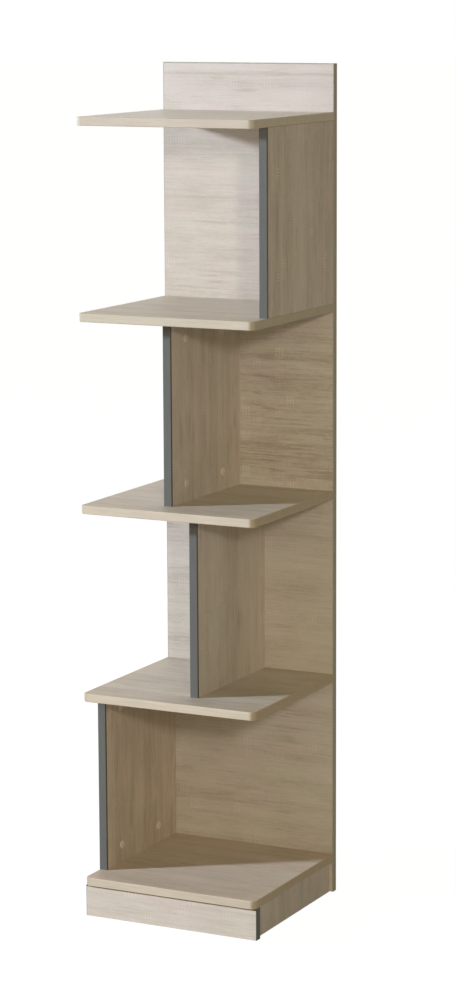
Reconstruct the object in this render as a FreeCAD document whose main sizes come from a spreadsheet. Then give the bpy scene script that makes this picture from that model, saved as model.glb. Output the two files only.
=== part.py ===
import FreeCAD, Part
import math
import os
import re
import Sketcher

# Open bookshelf: a full-height back panel carries a base shelf on a plinth and four square
# shelves, with one upright divider between each pair, stepped sideways from level to level.
# Frame: X to the right, Y to the rear, Z up; the origin is under the middle of the footprint.

# Driving dimensions in millimetres.
SIZES = {
    "unit_width": 402,
    "unit_depth": 400,
    "board_thickness": 18,
    "back_thickness": 16,
    "back_rise": 100,
    "base_top": 85,
    "shelf_pitch": 400,
    "shelf_corner_radius": 12,
    "divider_setback": 65,
    "divider_inset": 163,
    "plinth_setback": 6,
    "plinth_side_inset": 8,
    "band_thickness": 2,
    "band_rounding": 1,
    "shelf_band_rounding": 1.8,
    "plinth_band_thickness": 1,
    "plinth_band_rounding": 0.4,
    "cam_diameter": 15,
    "cam_floor": 1,
    "cam_reach": 39,
    "cam_front_inset": 68,
    "cam_rear_inset": 84,
    "plinth_cam_inset": 50,
    "cap_diameter": 17.5,
    "cap_height": 1.2,
    "cap_rounding": 0.8,
    "cap_pin_diameter": 4.6,
    "cap_pin_length": 2,
    "bolt_diameter": 7,
    "bolt_neck_diameter": 5,
    "bolt_head_length": 4,
    "bolt_neck_length": 4,
    "bolt_thread_diameter": 5,
    "bolt_thread_length": 11,
    "dowel_diameter": 8,
    "dowel_length": 30,
    "dowel_in_face": 11,
    "dowel_chamfer": 1,
    "dowel_spacing": 32,
    "plinth_dowel_edge": 17,
    "screw_length": 50,
    "screw_neck_diameter": 7,
    "screw_thread_diameter": 5,
    "screw_head_diameter": 10,
    "screw_head_height": 3,
    "screw_socket_flats": 4,
    "screw_socket_depth": 2.4,
    "screw_end_inset": 50,
    "divider_screw_inset": 110,
    "radial_clearance": 0.1,
    "end_clearance": 0.5,
}
SHEET = "Sizes"

# Sizes that follow from the driving ones, written with the sheet's aliases.
LEFT = "(-unit_width / 2)"
RIGHT = "(unit_width / 2)"
FRONT = "(-unit_depth / 2)"
REAR = "(unit_depth / 2)"
BACK_FACE = f"({REAR} - back_thickness)"
SHELF_DEPTH = "(unit_depth - back_thickness)"
DIVIDER_FRONT = f"({FRONT} + divider_setback)"
DIVIDER_HEIGHT = "(shelf_pitch - board_thickness)"
PLINTH_HEIGHT = "(base_top - board_thickness)"
PLINTH_FRONT = f"({FRONT} + plinth_setback)"
PLINTH_REAR = f"({PLINTH_FRONT} + board_thickness)"
HALF_BOARD = "(board_thickness / 2)"
CAM_DEPTH = f"({HALF_BOARD} + bolt_diameter / 2 + cam_floor)"
CORE_LEFT = f"({LEFT} + band_thickness)"
CORE_WIDTH = "(unit_width - 2 * band_thickness)"
LAST_BAND_LEFT = f"({RIGHT} - band_thickness)"
PLINTH_CORE_LEFT = f"({LEFT} + plinth_band_thickness)"
PLINTH_CORE_WIDTH = "(unit_width - 2 * plinth_band_thickness)"
BOLT_BORE = "(bolt_diameter + 2 * end_clearance)"
BOLT_THREAD_BORE = "(bolt_thread_diameter + 2 * radial_clearance)"
DOWEL_BORE = "(dowel_diameter + 2 * radial_clearance)"
DOWEL_END_DEPTH = "(dowel_length - dowel_in_face + end_clearance)"

# The shelves from the floor up, and the dividers that stand on each but the last: name, left
# face measured from the unit's left side, and the face that holds the cam fittings.
SHELVES = ("shelf_base", "shelf_1", "shelf_2", "shelf_3", "shelf_4")
DIVIDERS = (
    ("divider_1", "0", "right"),
    ("divider_2", "(unit_width - divider_inset - board_thickness)", "left"),
    ("divider_3", "divider_inset", "right"),
    ("divider_4", "(unit_width - board_thickness)", "left"),
)

# How a hole is sketched on each face of a board: the origin plane, the sketch's two axes, which
# side length the plane is offset by and which way, and whether the pocket is reversed.
FACES = {
    "left": ("YZ_Plane", (1, 2), 0, 0, True),
    "right": ("YZ_Plane", (1, 2), 0, 1, False),
    "front": ("XZ_Plane", (0, 2), 1, 0, False),
    "rear": ("XZ_Plane", (0, 2), 1, -1, True),
    "bottom": ("XY_Plane", (0, 1), 2, 0, True),
    "top": ("XY_Plane", (0, 1), 2, 1, False),
}
NORMALS = {
    "left": FreeCAD.Vector(-1, 0, 0),
    "right": FreeCAD.Vector(1, 0, 0),
    "rear": FreeCAD.Vector(0, 1, 0),
    "bottom": FreeCAD.Vector(0, 0, -1),
    "top": FreeCAD.Vector(0, 0, 1),
}

# The centre of a circle about a sketch's own origin.
AXIAL = (("0", "0"),)

# Tolerances for picking edges (mm) and for telling that a pocket has cut (mm3).
NEAR = 1e-4
MINIMUM_CUT = 0.5


def cells(text):
    """Give each alias in a formula the sheet's name, as an expression needs."""
    def qualified(word):
        return f"{SHEET}.{word.group()}" if word.group() in SIZES else word.group()
    return re.sub(r"[a-z_]+", qualified, text)


def make_sheet(document):
    """Write the driving dimensions into a spreadsheet, one named cell each."""
    sheet = document.addObject("Spreadsheet::Sheet", SHEET)
    for row, (alias, value) in enumerate(SIZES.items(), start=1):
        sheet.set(f"A{row}", alias)
        sheet.set(f"B{row}", str(value))
        sheet.setAlias(f"B{row}", alias)
    document.recompute()


def start_sketch(body, plane_role, offset="0"):
    """Attach an empty sketch to an origin plane of its body, offset along the plane's normal."""
    sketch = body.newObject("Sketcher::SketchObject", f"{body.Name}_sketch")
    planes = [item for item in body.Origin.OriginFeatures if item.Role == plane_role]
    sketch.AttachmentSupport = [(planes[0], "")]
    sketch.MapMode = "FlatFace"
    sketch.setExpression("AttachmentOffset.Base.z", cells(offset))
    return sketch


def value_of(sketch, formula):
    """Work out a formula on sheet cells."""
    return float(sketch.evalExpression(cells(formula)))


def vector_of(sketch, point):
    """Work out a point given as two formulas."""
    return FreeCAD.Vector(value_of(sketch, point[0]), value_of(sketch, point[1]), 0)


def bind(sketch, kind, targets, name, formula):
    """Add a dimension to a sketch under a name, and tie it to the sheet."""
    constraint = Sketcher.Constraint(kind, *targets, value_of(sketch, formula))
    sketch.renameConstraint(sketch.addConstraint(constraint), name)
    sketch.setExpression(f"Constraints.{name}", cells(formula))


def place_point(sketch, index, point, place):
    """Place a point of a sketch's geometry by two formulas, from the sketch's origin.

    A coordinate of "0" puts the point on the sketch's own axis.
    """
    for kind, axis, formula in zip(("DistanceX", "DistanceY"), (-2, -1), place):
        if formula == "0":
            sketch.addConstraint(Sketcher.Constraint("PointOnObject", index, point, axis))
        else:
            bind(sketch, kind, (-1, 1, index, point), f"{kind}_{index}", formula)


def make_arc(start, end, centre):
    """Make the anticlockwise arc from start to end."""
    first = start - centre
    last = end - centre
    circle = Part.Circle(centre, FreeCAD.Vector(0, 0, 1), first.Length)
    return Part.ArcOfCircle(circle, math.atan2(first.y, first.x), math.atan2(last.y, last.x))


def draw_path(sketch, points, centres=None):
    """Draw a closed outline through points given as formulas.

    A side is straight, or an anticlockwise arc where centres has its centre.
    """
    centres = centres or {}
    count = len(points)
    spots = [vector_of(sketch, point) for point in points]
    for index, spot in enumerate(spots):
        following = spots[(index + 1) % count]
        if index in centres:
            side = make_arc(spot, following, vector_of(sketch, centres[index]))
        else:
            side = Part.LineSegment(spot, following)
        sketch.addGeometry(side, False)
    for index in range(count):
        sketch.addConstraint(Sketcher.Constraint("Coincident", index, 2, (index + 1) % count, 1))
    for index, point in enumerate(points):
        place_point(sketch, index, 1, point)
    for index, centre in centres.items():
        bind(sketch, "DistanceX", (-1, 1, index, 3), f"Centre_{index}", centre[0])


def draw_rectangle(sketch, left, bottom, right, top):
    """Draw a rectangle whose sides are given as formulas from the sketch's origin."""
    draw_path(sketch, ((left, bottom), (right, bottom), (right, top), (left, top)))


def draw_circles(sketch, centres, diameter):
    """Draw equal circles whose centres are given as formulas from the sketch's origin."""
    radius = value_of(sketch, diameter) / 2
    for index, centre in enumerate(centres):
        circle = Part.Circle(vector_of(sketch, centre), FreeCAD.Vector(0, 0, 1), radius)
        sketch.addGeometry(circle, False)
        bind(sketch, "Diameter", (index,), f"Diameter_{index}", diameter)
        place_point(sketch, index, 3, centre)


def draw_hexagon(sketch, half_flats):
    """Draw a regular hexagon about the origin, its first corner on the X axis."""
    corner = f"({half_flats} / cos(30))"
    half_corner = f"({corner} / 2)"
    draw_path(sketch, (
        (corner, "0"),
        (half_corner, half_flats),
        (f"(-{half_corner})", half_flats),
        (f"(-{corner})", "0"),
        (f"(-{half_corner})", f"(-{half_flats})"),
        (half_corner, f"(-{half_flats})"),
    ))


def pad(body, sketch, length):
    """Raise a sketch into a solid."""
    feature = body.newObject("PartDesign::Pad", f"{body.Name}_pad")
    feature.Profile = sketch
    feature.setExpression("Length", cells(length))
    body.Tip = feature
    return feature


def pocket(body, sketch, depth, is_reversed):
    """Cut a sketch into the solid."""
    feature = body.newObject("PartDesign::Pocket", f"{body.Name}_pocket")
    feature.Profile = sketch
    feature.Reversed = is_reversed
    feature.setExpression("Length", cells(depth))
    body.Tip = feature


def revolve(body, points):
    """Turn an outline drawn on the XZ plane about the Z axis."""
    sketch = start_sketch(body, "XZ_Plane")
    draw_path(sketch, points)
    feature = body.newObject("PartDesign::Revolution", f"{body.Name}_revolution")
    feature.Profile = sketch
    feature.ReferenceAxis = (sketch, ["V_Axis"])
    feature.Angle = 360
    body.Tip = feature


def dress_edges(body, kind, size, is_chosen):
    """Fillet or chamfer the edges of the body's last feature that a test picks."""
    body.Document.recompute()
    base = body.Tip
    names = [f"Edge{number}" for number, edge in enumerate(base.Shape.Edges, start=1)
             if is_chosen(edge)]
    feature = body.newObject(f"PartDesign::{kind}", f"{body.Name}_{kind.lower()}")
    feature.Base = (base, names)
    feature.setExpression("Radius" if kind == "Fillet" else "Size", cells(size))
    body.Tip = feature


def is_near(value, target):
    """Tell whether a length is the target within the tolerance."""
    return abs(value - target) < NEAR


def runs_along(edge, axis):
    """Tell whether a straight edge runs along X, Y or Z (0, 1 or 2)."""
    if edge.Curve.TypeId != "Part::GeomLine":
        return False
    return is_near(abs(edge.tangentAt(edge.FirstParameter)[axis]), 1)


class Board:
    """A rectangular board or band: a padded body with its corner at (x, y, z)."""

    def __init__(self, document, name, corner, size):
        self.corner = corner
        self.size = size
        self.body = document.addObject("PartDesign::Body", name)
        self.body.Label = name
        sketch = start_sketch(self.body, "XY_Plane")
        draw_rectangle(sketch, "0", "0", size[0], size[1])
        pad(self.body, sketch, size[2])
        for axis, formula in zip("xyz", corner):
            self.body.setExpression(f"Placement.Base.{axis}", cells(formula))

    def drill(self, face, centres, diameter, depth):
        """Bore equal blind holes into a face, at centres given in the unit's own frame."""
        plane, axes, side, way, is_reversed = FACES[face]
        sketch = start_sketch(self.body, plane, f"({way} * {self.size[side]})")
        local = [[f"({centre[axis]}) - ({self.corner[axis]})" for axis in axes]
                 for centre in centres]
        draw_circles(sketch, local, diameter)
        pocket(self.body, sketch, depth, is_reversed)


class Group:
    """Copies of one fastener, kept together as one sub-part of separate solids."""

    def __init__(self, document, name, pattern):
        self.document = document
        self.pattern = pattern
        self.links = []
        self.compound = document.addObject("Part::Compound", name)
        self.compound.Label = name

    def add(self, place, along, across=FreeCAD.Vector(0, 1, 0)):
        """Set one copy at a place, its Z axis along one direction and its X axis across."""
        link = self.document.addObject("App::Link", f"{self.compound.Name}_copy")
        link.setLink(self.pattern)
        turn = FreeCAD.Rotation(across, FreeCAD.Vector(), along, "ZXY")
        link.Placement = FreeCAD.Placement(FreeCAD.Vector(), turn)
        for axis, formula in zip("xyz", place):
            link.setExpression(f"Placement.Base.{axis}", cells(formula))
        self.links.append(link)
        self.compound.Links = self.links


def shelf_top(level):
    """Height of the upper face of the shelf at a level, the base shelf being level 0."""
    return f"(base_top + {level} * shelf_pitch)"


def round_outer_edges(band, run_axis, outer_axis, outer_side, rounding="band_rounding"):
    """Round the two long edges of a straight band on its outer face.

    run_axis is the band's long direction; its outer face is the low (0) or high (1) side
    across outer_axis.
    """
    band.body.Document.recompute()
    box = band.body.Tip.Shape.BoundBox
    lengths = (box.XLength, box.YLength, box.ZLength)
    outer = lengths[outer_axis] * outer_side

    def is_outer(edge):
        return runs_along(edge, run_axis) and is_near(edge.CenterOfMass[outer_axis], outer)
    dress_edges(band.body, "Fillet", rounding, is_outer)


def make_back_panel(document):
    """The full-height panel and the bands on its two sides and its top."""
    height = f"({shelf_top(len(SHELVES) - 1)} + back_rise)"
    core_height = f"({height} - band_thickness)"
    panel = Board(document, "back_panel", (CORE_LEFT, BACK_FACE, "0"),
                  (CORE_WIDTH, "back_thickness", core_height))
    for name, left, outer_side in (("back_band_left", LEFT, 0),
                                   ("back_band_right", LAST_BAND_LEFT, 1)):
        band = Board(document, name, (left, BACK_FACE, "0"),
                     ("band_thickness", "back_thickness", height))
        round_outer_edges(band, 2, 0, outer_side)
    top = Board(document, "back_band_top", (CORE_LEFT, BACK_FACE, core_height),
                (CORE_WIDTH, "back_thickness", "band_thickness"))
    round_outer_edges(top, 0, 2, 1)
    return panel


def make_shelf(document, name, level):
    """One shelf: a core with two rounded front corners and the band round three sides."""
    bottom = f"({shelf_top(level)} - board_thickness)"
    core = Board(document, name, (CORE_LEFT, f"({FRONT} + band_thickness)", bottom),
                 (CORE_WIDTH, f"({SHELF_DEPTH} - band_thickness)", "board_thickness"))

    def is_front_corner(edge):
        return runs_along(edge, 2) and is_near(edge.CenterOfMass.y, 0)
    dress_edges(core.body, "Fillet", "shelf_corner_radius - band_thickness", is_front_corner)
    make_shelf_band(document, f"{name}_band", bottom, is_front_corner)
    return core


def make_shelf_band(document, name, bottom, is_front_corner):
    """The band round a shelf's left, front and right edges, with its rims rounded."""
    band = Board(document, name, (LEFT, FRONT, bottom),
                 ("unit_width", SHELF_DEPTH, "board_thickness"))
    dress_edges(band.body, "Fillet", "shelf_corner_radius", is_front_corner)
    document.recompute()
    rear = band.body.Tip.Shape.BoundBox.YMax

    def is_outer_rim(edge):
        return not runs_along(edge, 2) and not is_near(edge.CenterOfMass.y, rear)
    dress_edges(band.body, "Fillet", "shelf_band_rounding", is_outer_rim)
    inside = start_sketch(band.body, "XY_Plane")
    far_bend = "(unit_width - shelf_corner_radius)"
    far_side = "(unit_width - band_thickness)"
    beyond = f"({SHELF_DEPTH} + band_thickness)"
    draw_path(inside, (
        ("band_thickness", beyond),
        ("band_thickness", "shelf_corner_radius"),
        ("shelf_corner_radius", "band_thickness"),
        (far_bend, "band_thickness"),
        (far_side, "shelf_corner_radius"),
        (far_side, beyond),
    ), {1: ("shelf_corner_radius", "shelf_corner_radius"), 3: (far_bend, "shelf_corner_radius")})
    pocket(band.body, inside, "board_thickness", True)


def make_divider(document, name, from_left, level):
    """One upright divider with the band on its front edge."""
    left = f"({LEFT} + {from_left})"
    bottom = shelf_top(level)
    core = Board(document, name, (left, f"({DIVIDER_FRONT} + band_thickness)", bottom),
                 ("board_thickness", f"({SHELF_DEPTH} - divider_setback - band_thickness)",
                  DIVIDER_HEIGHT))
    band = Board(document, f"{name}_band", (left, DIVIDER_FRONT, bottom),
                 ("board_thickness", "band_thickness", DIVIDER_HEIGHT))
    round_outer_edges(band, 2, 1, 0)
    return core


def make_plinth(document):
    """The plinth: a front board with thin bands on its ends, and two side boards set in."""
    front = Board(document, "plinth_front", (PLINTH_CORE_LEFT, PLINTH_FRONT, "0"),
                  (PLINTH_CORE_WIDTH, "board_thickness", PLINTH_HEIGHT))
    for name, left, outer_side in (
            ("plinth_front_band_left", LEFT, 0),
            ("plinth_front_band_right", f"({RIGHT} - plinth_band_thickness)", 1)):
        band = Board(document, name, (left, PLINTH_FRONT, "0"),
                     ("plinth_band_thickness", "board_thickness", PLINTH_HEIGHT))
        round_outer_edges(band, 2, 0, outer_side, "plinth_band_rounding")
    sides = []
    for name, left in (
            ("plinth_side_left", f"({LEFT} + plinth_side_inset)"),
            ("plinth_side_right", f"({RIGHT} - plinth_side_inset - board_thickness)")):
        sides.append(Board(document, name, (left, PLINTH_REAR, "0"),
                           ("board_thickness", f"({BACK_FACE} - {PLINTH_REAR})",
                            PLINTH_HEIGHT)))
    return front, sides


def make_cam_pattern(document):
    """A cam housing: Z out of the board's face, X towards the end that the bolt enters by."""
    body = document.addObject("PartDesign::Body", "cam_lock_pattern")
    disc = start_sketch(body, "XY_Plane", f"(-{CAM_DEPTH})")
    draw_circles(disc, AXIAL, "(cam_diameter - 2 * radial_clearance)")
    pad(body, disc, f"({CAM_DEPTH} - radial_clearance)")
    socket = start_sketch(body, "XY_Plane")
    draw_circles(socket, AXIAL, "(cap_pin_diameter + 2 * radial_clearance)")
    pocket(body, socket, "(cap_pin_length + end_clearance)", False)
    throat = start_sketch(body, "YZ_Plane", "(-bolt_head_length / 2 - end_clearance)")
    draw_circles(throat, [("0", f"(-{HALF_BOARD})")], "(bolt_diameter + 2 * radial_clearance)")
    pocket(body, throat, "cam_diameter", True)
    return body


def make_bolt_pattern(document):
    """A cam bolt: Z along the shank, the thread below the origin, the head in the cam."""
    body = document.addObject("PartDesign::Body", "cam_bolt_pattern")
    tip = "(cam_reach + bolt_head_length / 2)"
    head = f"({tip} - bolt_head_length)"
    neck = f"({head} - bolt_neck_length)"
    thread = "(bolt_thread_diameter / 2)"
    shank = "(bolt_diameter / 2)"
    waist = "(bolt_neck_diameter / 2)"
    revolve(body, (
        ("0", "(-bolt_thread_length)"),
        (thread, "(-bolt_thread_length)"),
        (thread, "0"),
        (shank, "0"),
        (shank, neck),
        (waist, neck),
        (waist, head),
        (shank, head),
        (shank, tip),
        ("0", tip),
    ))
    return body


def make_cap_pattern(document):
    """A cover cap: a low round button on the face, with a pin into the cam's socket."""
    body = document.addObject("PartDesign::Body", "cam_cap_pattern")
    button = start_sketch(body, "XY_Plane")
    draw_circles(button, AXIAL, "cap_diameter")
    pad(body, button, "cap_height")

    def is_upper_rim(edge):
        return edge.CenterOfMass.z > 1e-6
    dress_edges(body, "Fillet", "cap_rounding", is_upper_rim)
    pin = start_sketch(body, "XY_Plane")
    draw_circles(pin, AXIAL, "cap_pin_diameter")
    pad(body, pin, "cap_pin_length").Reversed = True
    return body


def make_dowel_pattern(document):
    """A wooden dowel: Z along it, the origin where the two boards meet."""
    body = document.addObject("PartDesign::Body", "dowel_pattern")
    end = start_sketch(body, "XY_Plane", "(-dowel_in_face)")
    draw_circles(end, AXIAL, "dowel_diameter")
    pad(body, end, "dowel_length")

    def is_rim(edge):
        return edge.Curve.TypeId == "Part::GeomCircle"
    dress_edges(body, "Chamfer", "dowel_chamfer", is_rim)
    return body


def make_screw_pattern(document):
    """A connector screw: Z out of its countersunk head, which is flush with the panel."""
    body = document.addObject("PartDesign::Body", "back_screw_pattern")
    thread = "(screw_thread_diameter / 2)"
    neck = "(screw_neck_diameter / 2)"
    head_top = "(-radial_clearance)"
    revolve(body, (
        ("0", "(-screw_length)"),
        (thread, "(-screw_length)"),
        (thread, "(-back_thickness)"),
        (neck, "(-back_thickness)"),
        (neck, "(-screw_head_height)"),
        ("(screw_head_diameter / 2)", head_top),
        ("0", head_top),
    ))
    socket = start_sketch(body, "XY_Plane")
    draw_hexagon(socket, "(screw_socket_flats / 2)")
    pocket(body, socket, "screw_socket_depth", False)
    return body


def join_end(shelf, upright, end, plane, cam_face, cams, dowels, fasteners):
    """Join one end of an upright board to a shelf's face with cams, bolts and dowels.

    plane is the height where they meet: the upright's "bottom" end stands on the shelf, and
    its "top" end hangs below it. cams and dowels are places (x, y) on the board's middle.
    """
    shelf_face = "top" if end == "bottom" else "bottom"
    inward = NORMALS[end] * -1
    bolt_places = [(x, y, plane) for x, y in cams]
    dowel_places = [(x, y, plane) for x, y in dowels]
    shelf.drill(shelf_face, bolt_places, BOLT_THREAD_BORE, "(bolt_thread_length + end_clearance)")
    shelf.drill(shelf_face, dowel_places, DOWEL_BORE, "(dowel_in_face + end_clearance)")
    upright.drill(end, bolt_places, BOLT_BORE, "cam_reach")
    upright.drill(end, dowel_places, DOWEL_BORE, DOWEL_END_DEPTH)
    outward = NORMALS[cam_face]
    cam_places = [(f"({x} + ({outward.x}) * {HALF_BOARD})",
                   f"({y} + ({outward.y}) * {HALF_BOARD})",
                   f"({plane} + ({inward.z}) * cam_reach)") for x, y in cams]
    upright.drill(cam_face, cam_places, "cam_diameter", f"({CAM_DEPTH} + end_clearance)")
    for place in bolt_places:
        fasteners["cam_bolts"].add(place, inward)
    for place in cam_places:
        fasteners["cam_locks"].add(place, outward, NORMALS[end])
    for place in dowel_places:
        fasteners["dowels"].add(place, inward)
    return cam_places


def join_dividers(shelves, dividers, fasteners):
    """Join each divider to the shelves under and over it, and cover its cams."""
    front_cam = f"({DIVIDER_FRONT} + cam_front_inset)"
    rear_cam = f"({BACK_FACE} - cam_rear_inset)"
    rows = (front_cam, rear_cam)
    dowel_rows = (f"({front_cam} + dowel_spacing)", f"({rear_cam} - dowel_spacing)")
    for level, (_, from_left, cam_face) in enumerate(DIVIDERS):
        middle = f"({LEFT} + {from_left} + {HALF_BOARD})"
        cams = [(middle, row) for row in rows]
        dowels = [(middle, row) for row in dowel_rows]
        ends = (("bottom", shelves[level], shelf_top(level)),
                ("top", shelves[level + 1], f"({shelf_top(level + 1)} - board_thickness)"))
        for end, shelf, plane in ends:
            cam_places = join_end(shelf, dividers[level], end, plane, cam_face, cams, dowels,
                                  fasteners)
            for place in cam_places:
                fasteners["cam_caps"].add(place, NORMALS[cam_face])


def join_plinth(base, front, sides, fasteners):
    """Join the plinth boards to the base shelf, and the side boards to the front one."""
    front_middle = f"({PLINTH_FRONT} + {HALF_BOARD})"
    front_cams = [(f"({side} * (unit_width / 2 - plinth_cam_inset))", front_middle)
                  for side in (-1, 1)]
    join_end(base, front, "top", PLINTH_HEIGHT, "rear", front_cams, [("0", front_middle)],
             fasteners)
    rows = (f"({PLINTH_REAR} + plinth_cam_inset)", f"({BACK_FACE} - plinth_cam_inset)")
    middle_row = f"(({PLINTH_REAR} + {BACK_FACE}) / 2)"
    for board, side, cam_face in zip(sides, (-1, 1), ("right", "left")):
        middle = plinth_side_middle(side)
        join_end(base, board, "top", PLINTH_HEIGHT, cam_face, [(middle, row) for row in rows],
                 [(middle, middle_row)], fasteners)
        corners = [(middle, PLINTH_REAR, height) for height in
                   ("plinth_dowel_edge", f"({PLINTH_HEIGHT} - plinth_dowel_edge)")]
        front.drill("rear", corners, DOWEL_BORE, "(dowel_in_face + end_clearance)")
        board.drill("front", corners, DOWEL_BORE, DOWEL_END_DEPTH)
        for place in corners:
            fasteners["dowels"].add(place, NORMALS["rear"], NORMALS["top"])


def plinth_side_middle(side):
    """X of the middle of a plinth side board: side is -1 on the left and 1 on the right."""
    return f"({side} * (unit_width / 2 - plinth_side_inset - {HALF_BOARD}))"


def screw_back_panel(panel, shelves, dividers, sides, fasteners):
    """Screw the back panel to the rear edge of every board that meets it."""
    columns = (f"({LEFT} + screw_end_inset)", "0", f"({RIGHT} - screw_end_inset)")
    joints = []
    for level, shelf in enumerate(shelves):
        height = f"({shelf_top(level)} - {HALF_BOARD})"
        joints.append((shelf, [(column, REAR, height) for column in columns]))
    for level, (_, from_left, _) in enumerate(DIVIDERS):
        middle = f"({LEFT} + {from_left} + {HALF_BOARD})"
        heights = (f"({shelf_top(level)} + divider_screw_inset)",
                   f"({shelf_top(level)} + {DIVIDER_HEIGHT} - divider_screw_inset)")
        joints.append((dividers[level], [(middle, REAR, height) for height in heights]))
    for board, side in zip(sides, (-1, 1)):
        joints.append((board, [(plinth_side_middle(side), REAR, f"({PLINTH_HEIGHT} / 2)")]))
    for board, places in joints:
        board.drill("rear", places, "(screw_thread_diameter + 2 * radial_clearance)",
                    "(screw_length - back_thickness + end_clearance)")
        for place in places:
            fasteners["back_screws"].add(place, NORMALS["rear"], NORMALS["top"])
    every_place = [place for _, places in joints for place in places]
    panel.drill("rear", every_place, "(screw_neck_diameter + 2 * radial_clearance)",
                "back_thickness")
    panel.drill("rear", every_place, "(screw_head_diameter + 2 * radial_clearance)",
                "screw_head_height")


def check_document(document):
    """Stop if any object failed, or if a pocket left its solid as it was."""
    for item in document.Objects:
        if "Invalid" in item.State or "Error" in item.State:
            raise RuntimeError(f"{item.Name} did not compute: {item.State}")
        if item.TypeId == "PartDesign::Pocket":
            if item.Shape.Volume > item.BaseFeature.Shape.Volume - MINIMUM_CUT:
                raise RuntimeError(f"{item.Name} cuts nothing")


def export(document):
    """Write each sub-part to a STEP file of its own name."""
    boards = [item for item in document.Objects
              if item.TypeId == "PartDesign::Body" and not item.Name.endswith("_pattern")]
    groups = [item for item in document.Objects if item.TypeId == "Part::Compound"]
    for subpart in boards + groups:
        if subpart.Shape.isNull() or not subpart.Shape.isValid():
            raise RuntimeError(f"{subpart.Label} has no valid shape")
        subpart.Shape.exportStep(f"parts/{subpart.Label}.step")
        print(f"{subpart.Label}: {len(subpart.Shape.Solids)} solid(s), "
              f"{subpart.Shape.Volume / 1000:.1f} cm3")


def main():
    """Build the bookshelf and write its sub-parts."""
    os.makedirs("parts", exist_ok=True)
    document = FreeCAD.newDocument("bookshelf")
    make_sheet(document)
    panel = make_back_panel(document)
    shelves = [make_shelf(document, name, level) for level, name in enumerate(SHELVES)]
    dividers = [make_divider(document, name, from_left, level)
                for level, (name, from_left, _) in enumerate(DIVIDERS)]
    front, sides = make_plinth(document)
    patterns = {
        "cam_locks": make_cam_pattern(document),
        "cam_bolts": make_bolt_pattern(document),
        "cam_caps": make_cap_pattern(document),
        "dowels": make_dowel_pattern(document),
        "back_screws": make_screw_pattern(document),
    }
    fasteners = {name: Group(document, name, pattern) for name, pattern in patterns.items()}
    join_dividers(shelves, dividers, fasteners)
    join_plinth(shelves[0], front, sides, fasteners)
    screw_back_panel(panel, shelves, dividers, sides, fasteners)
    document.recompute()
    check_document(document)
    export(document)


main()
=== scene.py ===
import math

import bpy
from mathutils import Matrix, Vector

# The spine bookshelf's looks: sawn-oak laminate on every board, dark grey bands on the dividers'
# front edges and on the plinth board's ends, plain oak bands round the shelves, and beige caps over
# the cam locks. Some colours are painted light and shade: the side strips of the shelves' bands, dark
# lines along some joints, and tones of some boards and of the back panel. Lengths are metres,
# colours are linear RGB.

WHITE = (1.0, 1.0, 1.0)

# Camera: it looks at a point of the back panel from the right and a little above. Its values were
# fitted to the edges in the photograph.
CAMERA_TARGET = Vector((-0.0503, 0.1840, 0.8470))
CAMERA_AZIMUTH = math.radians(26.752)
CAMERA_ELEVATION = math.radians(9.809)
CAMERA_ROLL = math.radians(-0.282)
CAMERA_DISTANCE = 6.5219
CAMERA_REACH = 1000.0
SENSOR_WIDTH = 36.0
FRAME_LONG_SIDE = 1000
FOCAL_LENGTH_IN_PIXELS = 3011.4

# Light: a key lamp to the front left, a weaker one to the front right, and soft glows in the world.
LAMP_RADIUS = 0.30
LAMPS = {
    # place, power, colour
    "key_lamp": ((-5.640, -3.887, 3.070), 2235.0, (0.757, 0.850, 1.00)),
    "side_lamp": ((4.240, -6.350, 2.930), 492.0, (1.00, 0.91, 0.83)),
}
GLOWS = (
    # bearing from the front towards the right and elevation, both in degrees; sharpness; colour
    (45.0, 15.0, 8.0, (0.83, 0.71, 0.38)),
    (0.0, 24.0, 8.0, (0.42, 0.39, 0.22)),
    (0.0, 89.0, 24.0, (1.70, 1.30, 0.45)),
    (-150.0, 10.0, 8.0, (1.90, 1.65, 1.30)),
)

# Floor: its own colour, the glow that makes it look as white as the backdrop, and the share of its
# own colour that still shows there, with the shadow that falls on it
FLOOR_HALF_SIDE = 60.0
FLOOR_DROP = 0.0005
FLOOR_COLOUR = (0.40, 0.37, 0.32)
FLOOR_GLOW = 0.98
FLOOR_SHADOW_SHARE = 0.22

# The boards and the axis that their grain follows. Their order gives each a stretch of the print.
SHELVES = ("shelf_base", "shelf_1", "shelf_2", "shelf_3", "shelf_4")
DIVIDERS = ("divider_1", "divider_2", "divider_3", "divider_4")
BOARDS = {
    "back_panel": "X",
    "plinth_front": "X",
    "plinth_side_left": "Z",
    "plinth_side_right": "Z",
    **{shelf: "X" for shelf in SHELVES},
    **{divider: "Z" for divider in DIVIDERS},
}
GRAIN_ORDER = {"X": (0, 1, 2), "Z": (2, 0, 1)}
STRETCH_STEP = (3.71, 1.93, 2.47)

# The oak print, from dark streak to pale ground
OAK_TONES = (
    (0.00, (0.330, 0.268, 0.205)),
    (0.36, (0.520, 0.458, 0.388)),
    (0.52, (0.640, 0.580, 0.505)),
    (0.70, (0.720, 0.662, 0.588)),
    (1.00, (0.860, 0.815, 0.750)),
)
OLIVE_TINT = (0.978, 1.004, 0.976)
PINK_TINT = (1.030, 0.992, 1.030)
TINT_STEEPNESS = 2.0

# Noise of the print: size of the features along and across the grain, and detail. The first table
# bends the grain sideways, the second is printed along the bent grain.
BEND_NOISE = {
    "wander": (0.30, 0.10, 1.0),
    "flame": (0.09, 0.030, 1.0),
    "flame_patch": (0.30, 0.10, 0.0),
}
PRINT_NOISE = {
    "clouds": (0.10, 0.050, 2.0),
    "broad": (1.20, 0.070, 1.0),
    "bands": (1.00, 0.024, 2.0),
    "streaks": (0.110, 0.0042, 2.0),
    "threads": (0.034, 0.0022, 1.0),
    "flecks": (0.010, 0.0040, 1.0),
    "pores": (0.011, 0.0006, 0.0),
    "rings": (0.080, 0.0050, 0.0),
    "rings_patch": (0.13, 0.030, 1.0),
    "tints": (0.10, 0.030, 2.0),
}
BEND = 0.012
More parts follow.
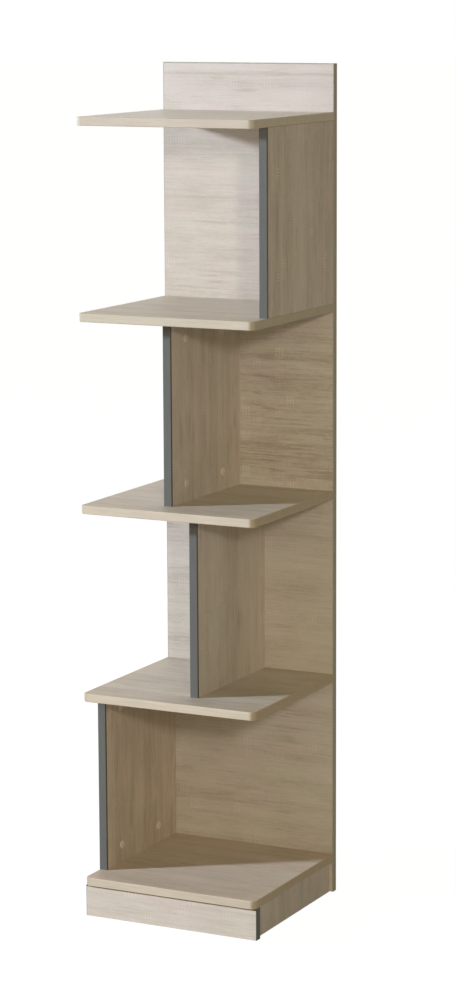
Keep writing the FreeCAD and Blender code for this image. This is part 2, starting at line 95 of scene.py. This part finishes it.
# Noise levels between which a layer fades in, for the layers that are patches and not all over
FADES = {
    "flame_patch": (0.04, 0.20),
    "pores": (0.12, 0.26),
    "rings": (0.02, 0.14),
    "rings_patch": (0.06, 0.20),
}

# What each layer adds to the tone, the roughness and the relief, and where these start
MIDDLE_TONE = 0.53
TONE_WEIGHTS = {
    "clouds": 0.24,
    "broad": 0.24,
    "bands": 0.34,
    "streaks": 0.34,
    "threads": 0.20,
    "flecks": 0.16,
    "pores": -0.05,
    "rings": -0.12,
    "ticks": 0.17,
}
MIDDLE_ROUGHNESS = 0.47
ROUGHNESS_WEIGHTS = {"streaks": 0.25, "clouds": 0.12, "pores": 0.10}
MIDDLE_HEIGHT = 0.5
RELIEF_WEIGHTS = {"streaks": 0.9, "threads": 0.5, "pores": -0.4, "ticks": 0.30}

# Saw marks: cells of the grid, the share of cells that carry marks, how far from a cell's middle
# they fade out (as shares of the cell), and the distance between ticks
MARK_LENGTH = 0.026
MARK_WIDTH = 0.026
MARK_SHARE = 0.13
MARK_EDGE = (0.48, 0.36)
MARK_SPACING = 0.0066

# Contrast, lift and tint of the print on the boards where it differs from the rest. The lifts and
# tints are partly painted light and shade: they darken the lower shelves, divider 1 and divider 4,
# lighten the plinth board, and lighten and cool the top shelf's top as a painted sheen.
PLAIN_PRINT = (1.0, 0.0, WHITE)
WARMER = (1.035, 0.985, 0.930)
LESS_BLUE = (1.000, 0.996, 0.982)
BOARD_PRINT_AND_SHADE = {
    "shelf_base": (0.70, -0.075, WARMER),
    "shelf_1": (0.70, -0.085, LESS_BLUE),
    "shelf_2": (0.70, -0.065, LESS_BLUE),
    "shelf_3": (0.70, -0.020, LESS_BLUE),
    "shelf_4": (0.50, 0.140, (0.990, 1.000, 1.060)),
    "plinth_front": (1.00, 0.140, (1.010, 0.990, 1.000)),
    "divider_1": (0.85, -0.090, WARMER),
    "divider_2": (0.85, 0.000, WHITE),
    "divider_3": (0.85, 0.000, WHITE),
    "divider_4": (1.00, -0.060, WHITE),
}

# The back panel's print changes with the height, near the undersides of shelves: each row holds a
# shelf, the heights from its underside where the change starts and ends, and the contrast below.
PANEL_CONTRASTS = (
    ("shelf_2", -0.087, 0.033, 0.85),
    ("shelf_3", -0.117, 0.033, 1.40),
)
TOP_CONTRAST = 0.60
# Painted light: the print is darker from shelf 3 up to shelf 4, a painted shade, and cooler above
# shelf 4, a painted cool light from above.
UPPER_START = ("shelf_3", -0.047, 0.033)
UPPER_PAINTED_SHADE = -0.045
TOP_START = ("shelf_4", 0.001, 0.017)
TOP_PAINTED_COOL_LIGHT = (0.995, 1.008, 1.080)
# A lighter strip runs along the panel's top edge, with a soft dark line along its foot: the strip's
# height and the blur of its edge, and how far the line reaches and is darkest from the foot.
STRIP_HEIGHT = 0.019
STRIP_BLUR = 0.0005
STRIP_LIFT = 0.060
STRIP_LINE = (0.0090, 0.0005)
STRIP_LINE_LIFT = -0.120

# Dark lines along joints, where a board meets its band or the board above, partly painted shade:
# on the dividers the line stands for the band's shaded edge beside the dark joint, and on the plinth
# board for the shadow of the base shelf's overhang. Columns: the axis that points to the joint, the
# board's end there (0 the low one, 1 the high one), and the line's width
BEHIND_DIVIDER_BAND = (1, 0, 0.0028)
JOINT_SHADE_LINES = {
    **{divider: BEHIND_DIVIDER_BAND for divider in DIVIDERS},
    "plinth_front": (2, 1, 0.0024),
}
JOINT_SHADE_BLUR = 0.0005
JOINT_SHADE_TINT = (0.12, 0.11, 0.10)

# Gloss, and the boards' finish: specular level, change of roughness, and strength of the relief
BAND_SPECULAR = 0.03
MATT_SPECULAR = 0.10
METAL_SPECULAR = 0.50
PLAIN_FINISH = (MATT_SPECULAR, 0.0, 0.6)
FINISHES = {"shelf_4": (0.20, -0.12, 0.2)}
OAK_RELIEF_DEPTH = 0.0001

# The shelves' oak bands: colour along the front, and colour of the strips on the shelf's two sides.
# Both are partly painted light: the side strips are darker than the front as painted shade, and
# lighter on the top shelf as painted light; the fronts are darker on the upper shelves, painted
# shade too. The one gives way to the other between two distances from the side.
SHELF_BANDS = {
    "shelf_base": ((0.686, 0.597, 0.487), (0.560, 0.472, 0.350)),
    "shelf_1": ((0.692, 0.608, 0.490), (0.545, 0.452, 0.328)),
    "shelf_2": ((0.684, 0.599, 0.496), (0.550, 0.472, 0.355)),
    "shelf_3": ((0.640, 0.571, 0.476), (0.552, 0.494, 0.390)),
    "shelf_4": ((0.633, 0.560, 0.478), (0.655, 0.604, 0.512)),
}
SIDE_SHADING_START = (0.015, 0.005)

# Coats in one colour with a faint print: axis of the grain, stretch of the print, contrast and
# roughness, for the shelves' bands and, after the colour, for the others
SHELF_BAND_COAT = ("X", 31, 0.30, 0.36)
PLAIN_COATS = {
    "grey_band": ((0.157, 0.161, 0.155), "Z", 41, 0.20, 0.40),
    "panel_band": ((0.450, 0.430, 0.370), "Z", 45, 0.25, 0.40),
    "cap_plastic": ((0.800, 0.700, 0.600), "Z", 51, 0.10, 0.38),
    "beech": ((0.55, 0.36, 0.20), "X", 61, 0.60, 0.60),
}
# The faint print's features along and across the grain, the orange peel's size, the clouds' share of
# the contrast and of the roughness, and the relief's strength and depth
COAT_STREAKS = (0.060, 0.0025)
COAT_CLOUDS = (0.120, 0.020)
COAT_PEEL = 0.0010
CLOUD_CONTRAST = 0.6
CLOUD_ROUGHNESS = 0.2
PEEL_RELIEF = (0.25, 0.00008)

# Metals: colour and roughness. Then the size of the tarnish and of the fine grit, what they add to
# the colour, what the tarnish adds to the roughness, and the relief's strength and depth
METALS = {
    "zinc": ((0.50, 0.50, 0.51), 0.45),
    "zinc_plated_steel": ((0.62, 0.62, 0.60), 0.32),
}
TARNISH_SIZE = 0.004
GRIT_SIZE = 0.0006
TARNISH_CONTRAST = 0.5
GRIT_CONTRAST = 0.2
TARNISH_ROUGHNESS = 0.4
GRIT_RELIEF = (0.2, 0.00005)

# The pieces that wear a plain coat or a metal
WEARERS = {
    "grey_band": (
        *[divider + "_band" for divider in DIVIDERS],
        "plinth_front_band_left",
        "plinth_front_band_right",
    ),
    "panel_band": ("back_band_left", "back_band_right", "back_band_top"),
    "cap_plastic": ("cam_caps",),
    "beech": ("dowels",),
    "zinc": ("cam_locks",),
    "zinc_plated_steel": ("cam_bolts", "back_screws"),
}


def opaque(colour):
    return (*colour, 1.0)


class Nodes:
    """One node tree. Each method adds nodes and returns an output of the last one."""

    def __init__(self, tree):
        self.tree = tree

    def node(self, kind, inputs=(), **settings):
        """Add a node of a kind. An input is a number, a tuple or another node's output."""
        made = self.tree.nodes.new(kind)
        for name, value in settings.items():
            setattr(made, name, value)
        for key, value in dict(inputs).items():
            self.feed(made.inputs[key], value)
        return made

    def feed(self, socket, value):
        if isinstance(value, bpy.types.NodeSocket):
            self.tree.links.new(value, socket)
        elif value is not None:
            socket.default_value = value

    def math(self, operation, a, b=None, c=None, clamp=False):
        inputs = {0: a, 1: b, 2: c}
        return self.node("ShaderNodeMath", inputs, operation=operation, use_clamp=clamp).outputs[0]

    def vector_math(self, operation, a, b=None, output="Vector"):
        made = self.node("ShaderNodeVectorMath", {0: a, 1: b}, operation=operation)
        return made.outputs[output]

    def combine(self, *parts):
        return self.node("ShaderNodeCombineXYZ", dict(enumerate(parts))).outputs[0]

    def separate(self, vector):
        return self.node("ShaderNodeSeparateXYZ", {0: vector}).outputs

    def object_parts(self):
        """The three object coordinates: the shared frame's own, since every node sits at its origin."""
        return self.separate(self.node("ShaderNodeTexCoord").outputs["Object"])

    def fade(self, value, clear, full):
        """0 where the value is clear or beyond, 1 where it is full or beyond, smooth in between."""
        inputs = {"Value": value, "From Min": clear, "From Max": full}
        return self.node("ShaderNodeMapRange", inputs, interpolation_type="SMOOTHSTEP").outputs[0]

    def noise(self, place, along, across, detail=2.0):
        """Smooth noise around 0, with features of one length along x and another across it."""
        scaled = self.vector_math("DIVIDE", place, (along, across, across))
        inputs = {"Vector": scaled, "Scale": 1.0, "Detail": detail}
        return self.math("SUBTRACT", self.node("ShaderNodeTexNoise", inputs).outputs[0], 0.5)

    def weighted_sum(self, start, *terms):
        total = start
        for weight, value in terms:
            total = self.math("MULTIPLY_ADD", value, weight, total)
        return total

    def ramp(self, value, stops):
        made = self.node("ShaderNodeValToRGB", {0: value})
        elements = made.color_ramp.elements
        while len(elements) < len(stops):
            elements.new(0.5)
        for element, (position, colour) in zip(elements, stops):
            element.position = position
            element.color = opaque(colour)
        return made.outputs[0]

    def mix(self, share, first, second, blend="MIX"):
        inputs = {0: share, 6: first, 7: second}
        return self.node("ShaderNodeMix", inputs, data_type="RGBA", blend_type=blend).outputs[2]

    def shaded(self, colour, factor):
        """A colour made lighter or darker by a factor."""
        shade = self.node("ShaderNodeCombineColor", {0: factor, 1: factor, 2: factor}).outputs[0]
        return self.mix(1.0, colour, shade, "MULTIPLY")

    def relief(self, height, strength, depth):
        inputs = {"Height": height, "Strength": strength, "Distance": depth}
        return self.node("ShaderNodeBump", inputs).outputs[0]


def new_material(name, specular=MATT_SPECULAR):
    """An empty material, its Nodes and its Principled BSDF node."""
    material = bpy.data.materials.new(name)
    material.use_nodes = True
    surface = material.node_tree.nodes["Principled BSDF"]
    surface.inputs["Specular IOR Level"].default_value = specular
    return material, Nodes(material.node_tree), surface


def finish_surface(nodes, surface, colour, roughness, relief):
    nodes.feed(surface.inputs["Base Color"], colour)
    nodes.feed(surface.inputs["Roughness"], roughness)
    nodes.feed(surface.inputs["Normal"], relief)


def grain_place(nodes, grain, stretch):
    """Object coordinates turned so that x runs along the grain, moved to a stretch of the print."""
    parts = nodes.object_parts()
    turned = nodes.combine(*[parts[axis] for axis in GRAIN_ORDER[grain]])
    return nodes.vector_math("ADD", turned, tuple(step * stretch for step in STRETCH_STEP))


def saw_marks(nodes, place):
    """Pale ticks across the grain, in small rectangular groups on some cells of a grid."""
    along, second, third = nodes.separate(place)
    across = nodes.math("ADD", second, third)
    columns = nodes.math("DIVIDE", along, MARK_LENGTH)
    rows = nodes.math("DIVIDE", across, MARK_WIDTH)
    grid = nodes.combine(columns, rows)
    cell = nodes.vector_math("FLOOR", grid)
    chance = nodes.node("ShaderNodeTexWhiteNoise", {0: cell}).outputs[0]
    patch = nodes.fade(chance, 1.0 - MARK_SHARE, 1.0)
    for place_in_cell in nodes.separate(nodes.vector_math("FRACTION", grid))[:2]:
        from_middle = nodes.math("ABSOLUTE", nodes.math("SUBTRACT", place_in_cell, 0.5))
        patch = nodes.math("MULTIPLY", patch, nodes.fade(from_middle, *MARK_EDGE))
    wave = nodes.math("SINE", nodes.math("MULTIPLY", along, 2 * math.pi / MARK_SPACING))
    return nodes.math("MULTIPLY", nodes.fade(wave, 0.0, 1.0), patch)


def noise_layers(nodes, place, table):
    """The layers of a table of noise by name, with the patches faded in."""
    layers = {name: nodes.noise(place, *row) for name, row in table.items()}
    faded = {name: nodes.fade(layers[name], *FADES[name]) for name in table if name in FADES}
    return {**layers, **faded}


def print_layers(nodes, straight):
    """All layers of the print. The grain wanders sideways, more so in some stretches."""
    bends = noise_layers(nodes, straight, BEND_NOISE)
    flame = nodes.math("MULTIPLY", bends["flame"], bends["flame_patch"])
    sideways = nodes.math("MULTIPLY", bends["wander"], BEND)
    sideways = nodes.math("MULTIPLY_ADD", flame, BEND, sideways)
    bent = nodes.vector_math("ADD", straight, nodes.combine(0.0, sideways, sideways))
    layers = noise_layers(nodes, bent, PRINT_NOISE)
    layers["rings"] = nodes.math("MULTIPLY", layers["rings"], layers["rings_patch"])
    layers["ticks"] = saw_marks(nodes, straight)
    return layers


def oak_group():
    """The sawn-oak print as a node group. Its Place runs along the grain in x."""
    group = bpy.data.node_groups.new("sawn_oak", "ShaderNodeTree")
    for direction, name, kind in (
        ("INPUT", "Place", "NodeSocketVector"),
        ("INPUT", "Contrast", "NodeSocketFloat"),
        ("INPUT", "Lift", "NodeSocketFloat"),
        ("OUTPUT", "Color", "NodeSocketColor"),
        ("OUTPUT", "Roughness", "NodeSocketFloat"),
        ("OUTPUT", "Height", "NodeSocketFloat"),
    ):
        group.interface.new_socket(name, in_out=direction, socket_type=kind)
    nodes = Nodes(group)
    place, contrast, lift = nodes.node("NodeGroupInput").outputs[:3]
    layers = print_layers(nodes, place)

    def layer_sum(start, weights):
        return nodes.weighted_sum(start, *[(weight, layers[name]) for name, weight in weights.items()])

    figure = layer_sum(0.0, TONE_WEIGHTS)
    tone = nodes.math("MULTIPLY_ADD", figure, contrast, nodes.math("ADD", lift, MIDDLE_TONE))
    pink_share = nodes.math("MULTIPLY_ADD", layers["tints"], TINT_STEEPNESS, 0.5, clamp=True)
    tint = nodes.mix(pink_share, opaque(OLIVE_TINT), opaque(PINK_TINT))
    outputs = {
        "Color": nodes.mix(1.0, nodes.ramp(tone, OAK_TONES), tint, "MULTIPLY"),
        "Roughness": layer_sum(MIDDLE_ROUGHNESS, ROUGHNESS_WEIGHTS),
        "Height": layer_sum(MIDDLE_HEIGHT, RELIEF_WEIGHTS),
    }
    nodes.node("NodeGroupOutput", outputs)
    return group


def node_box(node):
    """The low and the high corner of a node. It sits at the origin, so its own box is the frame's."""
    sides = list(zip(*node.bound_box))
    return [min(side) for side in sides], [max(side) for side in sides]


def panel_print_and_painted_light(nodes, boxes):
    """Contrast, lift and tint of the back panel's print by height; lift and tint hold painted light too.
    """
    height = nodes.object_parts()[2]

    def heights_at(shelf, start, end):
        underside = boxes[shelf][0][2]
        return underside + start, underside + end

    contrast = TOP_CONTRAST
    for shelf, start, end, below in reversed(PANEL_CONTRASTS):
        low, high = heights_at(shelf, start, end)
        difference = nodes.math("SUBTRACT", below, contrast)
        contrast = nodes.math("MULTIPLY_ADD", nodes.fade(height, high, low), difference, contrast)

    foot = boxes["back_panel"][1][2] - STRIP_HEIGHT
    strip = nodes.fade(height, foot - STRIP_BLUR, foot + STRIP_BLUR)
    off_foot = nodes.math("ABSOLUTE", nodes.math("SUBTRACT", height, foot))
    line = nodes.fade(off_foot, *STRIP_LINE)
    upper = nodes.fade(height, *heights_at(*UPPER_START))
    top = nodes.fade(height, *heights_at(*TOP_START))
    # The lift holds painted shade from shelf 3 up to shelf 4; the tint holds painted cool light above
    # shelf 4.
    lift = nodes.weighted_sum(
        0.0, (STRIP_LIFT, strip), (STRIP_LINE_LIFT, line), (UPPER_PAINTED_SHADE, upper), (-UPPER_PAINTED_SHADE, top)
    )
    return contrast, lift, nodes.mix(top, opaque(WHITE), opaque(TOP_PAINTED_COOL_LIGHT))


def joint_shade_line(nodes, tint, box, axis, end, width):
    """A board's tint, turned dark in a thin line of painted shade along one end of the board."""
    inward = (1, -1)[end]
    dark = box[end][axis] + inward * width
    clear = dark + inward * JOINT_SHADE_BLUR
    line = nodes.fade(nodes.object_parts()[axis], clear, dark)
    return nodes.mix(line, tint, opaque(JOINT_SHADE_TINT))


def oak_material(board, group, grain, stretch, boxes):
    specular, smoothing, relief_strength = FINISHES.get(board, PLAIN_FINISH)
    material, nodes, surface = new_material("oak_" + board, specular)
    if board == "back_panel":
        contrast, lift, tint = panel_print_and_painted_light(nodes, boxes)
    else:
        # A board's lift and tint hold painted light and shade as well as the print's own tone.
        contrast, lift, colour = BOARD_PRINT_AND_SHADE.get(board, PLAIN_PRINT)
        tint = opaque(colour)
        # Painted shade: a dark line along a joint of the board.
        if board in JOINT_SHADE_LINES:
            tint = joint_shade_line(nodes, tint, boxes[board], *JOINT_SHADE_LINES[board])
    inputs = {"Place": grain_place(nodes, grain, stretch), "Contrast": contrast, "Lift": lift}
    oak = nodes.node("ShaderNodeGroup", inputs, node_tree=group).outputs
    colour = nodes.mix(1.0, oak["Color"], tint, "MULTIPLY")
    roughness = nodes.math("ADD", oak["Roughness"], smoothing)
    relief = nodes.relief(oak["Height"], relief_strength, OAK_RELIEF_DEPTH)
    finish_surface(nodes, surface, colour, roughness, relief)
    return material


def coat_material(name, colour, grain, stretch, contrast, roughness, side_shading=None):
    """One colour with a faint lengthwise print and an orange-peel surface.

    The last argument gives the colour of the strips on a shelf's two sides, a painted shade, and how
    far from the middle the sides are.
    """
    material, nodes, surface = new_material(name, BAND_SPECULAR)
    place = grain_place(nodes, grain, stretch)
    streaks = nodes.noise(place, *COAT_STREAKS)
    clouds = nodes.noise(place, *COAT_CLOUDS)
    peel = nodes.noise(place, COAT_PEEL, COAT_PEEL, detail=1.0)
    ground = opaque(colour)
    # Painted shade: the strips on a shelf's two sides take a colour of their own.
    if side_shading:
        side_shading_colour, side = side_shading
        off_middle = nodes.math("ABSOLUTE", nodes.object_parts()[0])
        share = nodes.fade(off_middle, *[side - inset for inset in SIDE_SHADING_START])
        ground = nodes.mix(share, ground, opaque(side_shading_colour))
    factor = nodes.weighted_sum(1.0, (contrast, streaks), (CLOUD_CONTRAST * contrast, clouds))
    rough = nodes.math("MULTIPLY_ADD", clouds, CLOUD_ROUGHNESS, roughness)
    finish_surface(nodes, surface, nodes.shaded(ground, factor), rough, nodes.relief(peel, *PEEL_RELIEF))
    return material


def metal_material(name, colour, roughness):
    material, nodes, surface = new_material(name, METAL_SPECULAR)
    surface.inputs["Metallic"].default_value = 1.0
    place = nodes.node("ShaderNodeTexCoord").outputs["Object"]
    grit = nodes.noise(place, GRIT_SIZE, GRIT_SIZE)
    tarnish = nodes.noise(place, TARNISH_SIZE, TARNISH_SIZE)
    factor = nodes.weighted_sum(1.0, (TARNISH_CONTRAST, tarnish), (GRIT_CONTRAST, grit))
    rough = nodes.math("MULTIPLY_ADD", tarnish, TARNISH_ROUGHNESS, roughness)
    shaded = nodes.shaded(opaque(colour), factor)
    finish_surface(nodes, surface, shaded, rough, nodes.relief(grit, *GRIT_RELIEF))
    return material


def dress(pieces):
    """Give every node of the frame its material. Each board has a stretch of oak print of its own."""
    boxes = {name: node_box(node) for name, node in pieces.items()}
    group = oak_group()
    materials = {}
    for stretch, (board, grain) in enumerate(BOARDS.items(), start=1):
        materials[board] = oak_material(board, group, grain, stretch, boxes)
    # The shelves' bands: front colour, and painted shade on the side strips.
    for shelf, (colour, side_shading_colour) in SHELF_BANDS.items():
        band = shelf + "_band"
        side_shading = (side_shading_colour, boxes[band][1][0])
        materials[band] = coat_material("band_" + shelf, colour, *SHELF_BAND_COAT, side_shading)
    shared = {name: coat_material(name, *coat) for name, coat in PLAIN_COATS.items()}
    shared.update({name: metal_material(name, *metal) for name, metal in METALS.items()})
    for name, wearers in WEARERS.items():
        materials.update({wearer: shared[name] for wearer in wearers})
    for name, node in pieces.items():
        node.data.materials.clear()
        node.data.materials.append(materials[name])


def direction(bearing, elevation):
    """The unit vector towards a bearing, counted from the front towards the right, and an elevation."""
    return Vector((
        math.sin(bearing) * math.cos(elevation),
        -math.cos(bearing) * math.cos(elevation),
        math.sin(elevation),
    ))


def make_camera():
    back = direction(CAMERA_AZIMUTH, CAMERA_ELEVATION)
    right = Vector((math.cos(CAMERA_AZIMUTH), math.sin(CAMERA_AZIMUTH), 0.0))
    up = back.cross(right)
    rolled_right = right * math.cos(CAMERA_ROLL) + up * math.sin(CAMERA_ROLL)
    rolled_up = up * math.cos(CAMERA_ROLL) - right * math.sin(CAMERA_ROLL)
    turn = Matrix((rolled_right, rolled_up, back)).transposed().to_4x4()
    data = bpy.data.cameras.new("camera")
    data.sensor_width = SENSOR_WIDTH
    data.lens = FOCAL_LENGTH_IN_PIXELS * SENSOR_WIDTH / FRAME_LONG_SIDE
    data.clip_end = CAMERA_REACH
    camera = bpy.data.objects.new("camera", data)
    camera.matrix_world = Matrix.Translation(CAMERA_TARGET + back * CAMERA_DISTANCE) @ turn
    bpy.context.scene.collection.objects.link(camera)
    bpy.context.scene.camera = camera


def make_lamps():
    for name, (place, power, colour) in LAMPS.items():
        data = bpy.data.lights.new(name, "POINT")
        data.energy = power
        data.color = colour
        data.shadow_soft_size = LAMP_RADIUS
        lamp = bpy.data.objects.new(name, data)
        lamp.location = place
        bpy.context.scene.collection.objects.link(lamp)


def seen_directly(nodes):
    """1 for rays from the camera, and for mirror and glass rays that show the background too."""
    rays = nodes.node("ShaderNodeLightPath").outputs
    mirror = nodes.math("ADD", rays["Is Camera Ray"], rays["Is Glossy Ray"])
    return nodes.math("ADD", mirror, rays["Is Transmission Ray"], clamp=True)


def glow_colour(nodes):
    """The light that comes from a direction of the world: the sum of the glows."""
    outward = nodes.node("ShaderNodeTexCoord").outputs["Generated"]
    total = (0.0, 0.0, 0.0)
    for bearing, elevation, sharpness, colour in GLOWS:
        middle = tuple(direction(math.radians(bearing), math.radians(elevation)))
        facing = nodes.vector_math("DOT_PRODUCT", outward, middle, output="Value")
        share = nodes.math("POWER", nodes.math("MAXIMUM", facing, 0.0), sharpness)
        scaled = nodes.node("ShaderNodeVectorMath", {0: colour, "Scale": share}, operation="SCALE")
        total = nodes.vector_math("ADD", total, scaled.outputs[0])
    return total


def make_world():
    """Soft glows that light the object, behind a backdrop that is plain white where it is seen."""
    world = bpy.data.worlds.new("studio")
    world.use_nodes = True
    bpy.context.scene.world = world
    nodes = Nodes(world.node_tree)
    fill = world.node_tree.nodes["Background"]
    nodes.feed(fill.inputs["Color"], glow_colour(nodes))
    shown = nodes.node("ShaderNodeBackground", {"Color": opaque(WHITE), "Strength": 1.0})
    shaders = {0: seen_directly(nodes), 1: fill.outputs[0], 2: shown.outputs[0]}
    mix = nodes.node("ShaderNodeMixShader", shaders)
    nodes.feed(world.node_tree.nodes["World Output"].inputs["Surface"], mix.outputs[0])


def make_floor():
    """A pale floor that looks as white as the backdrop and keeps a faint shadow."""
    half = FLOOR_HALF_SIDE
    corners = [(-half, -half), (half, -half), (half, half), (-half, half)]
    mesh = bpy.data.meshes.new("floor")
    mesh.from_pydata([(x, y, -FLOOR_DROP) for x, y in corners], [], [(0, 1, 2, 3)])
    floor = bpy.data.objects.new("floor", mesh)
    bpy.context.scene.collection.objects.link(floor)
    material, nodes, surface = new_material("floor")
    shadow_colour = [part * FLOOR_SHADOW_SHARE for part in FLOOR_COLOUR]
    plain = nodes.node("ShaderNodeBsdfDiffuse", {"Color": opaque(FLOOR_COLOUR)})
    shadow = nodes.node("ShaderNodeBsdfDiffuse", {"Color": opaque(shadow_colour)})
    glow = nodes.node("ShaderNodeEmission", {"Color": opaque(WHITE), "Strength": FLOOR_GLOW})
    shown = nodes.node("ShaderNodeAddShader", {0: shadow.outputs[0], 1: glow.outputs[0]})
    shaders = {0: seen_directly(nodes), 1: plain.outputs[0], 2: shown.outputs[0]}
    mix = nodes.node("ShaderNodeMixShader", shaders)
    nodes.feed(material.node_tree.nodes["Material Output"].inputs["Surface"], mix.outputs[0])
    material.node_tree.nodes.remove(surface)
    mesh.materials.append(material)


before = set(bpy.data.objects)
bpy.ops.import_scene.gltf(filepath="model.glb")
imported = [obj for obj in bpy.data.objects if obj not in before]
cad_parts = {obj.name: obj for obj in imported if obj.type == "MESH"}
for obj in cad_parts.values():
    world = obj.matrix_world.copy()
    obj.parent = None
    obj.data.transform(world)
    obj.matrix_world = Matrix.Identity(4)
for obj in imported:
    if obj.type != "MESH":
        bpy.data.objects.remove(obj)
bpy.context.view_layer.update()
make_camera()
make_lamps()
make_world()
make_floor()
dress(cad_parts)
bpy.context.scene.view_settings.view_transform = "Standard"
